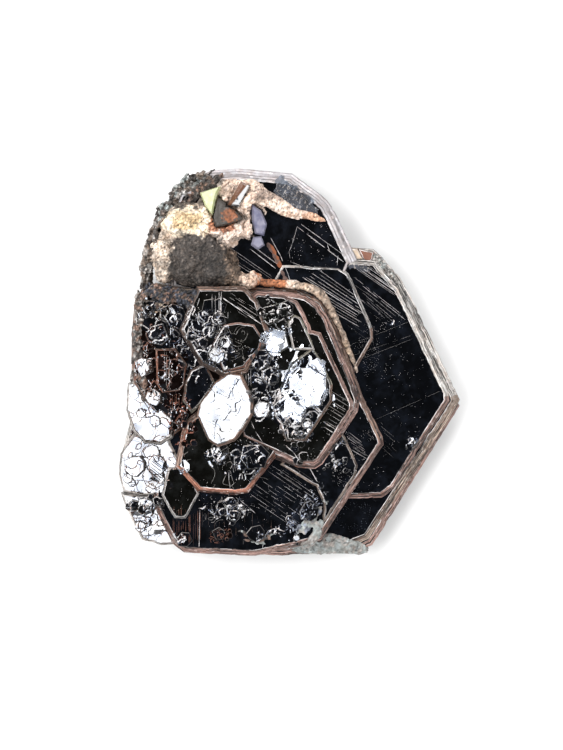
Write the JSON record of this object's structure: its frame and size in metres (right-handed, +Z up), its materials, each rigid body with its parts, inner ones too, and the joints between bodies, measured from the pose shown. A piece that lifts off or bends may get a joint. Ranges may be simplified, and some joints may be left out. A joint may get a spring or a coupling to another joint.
{
  "type": "hematite rose",
  "caption": "Natural hematite rose: stacked hexagonal mirror-black plates grown together, with a corner of pale feldspar and small crystals, lying on its back.",
  "frame": {"origin": "the middle of the outline, on the surface that the specimen lies on", "axes": "+Z up, through the stack of plates; +Y towards the feldspar corner, the long way of the specimen"},
  "size_m": [0.0411, 0.0471, 0.0116],
  "materials": {
    "hematite": "mirror-bright metallic black, rusty brown and silver-grey on the edge faces",
    "feldspar": "dull, cream and pinkish, with a dark earthy patch and rust stains",
    "yellow_green_crystal": "glassy, clear yellow-green",
    "lilac_crystal": "satin, lilac grey",
    "brown_crystal": "dull dark brown with rust"
  },
  "bodies": {
    "root": {"hematite_plates": "hematite", "feldspar_matrix": "feldspar", "yellow_green_crystal": "yellow_green_crystal", "lilac_crystal_large": "lilac_crystal", "lilac_crystal_small": "lilac_crystal", "hematite_blade": "hematite", "brown_crystal": "brown_crystal"}
  },
  "joints": []
}
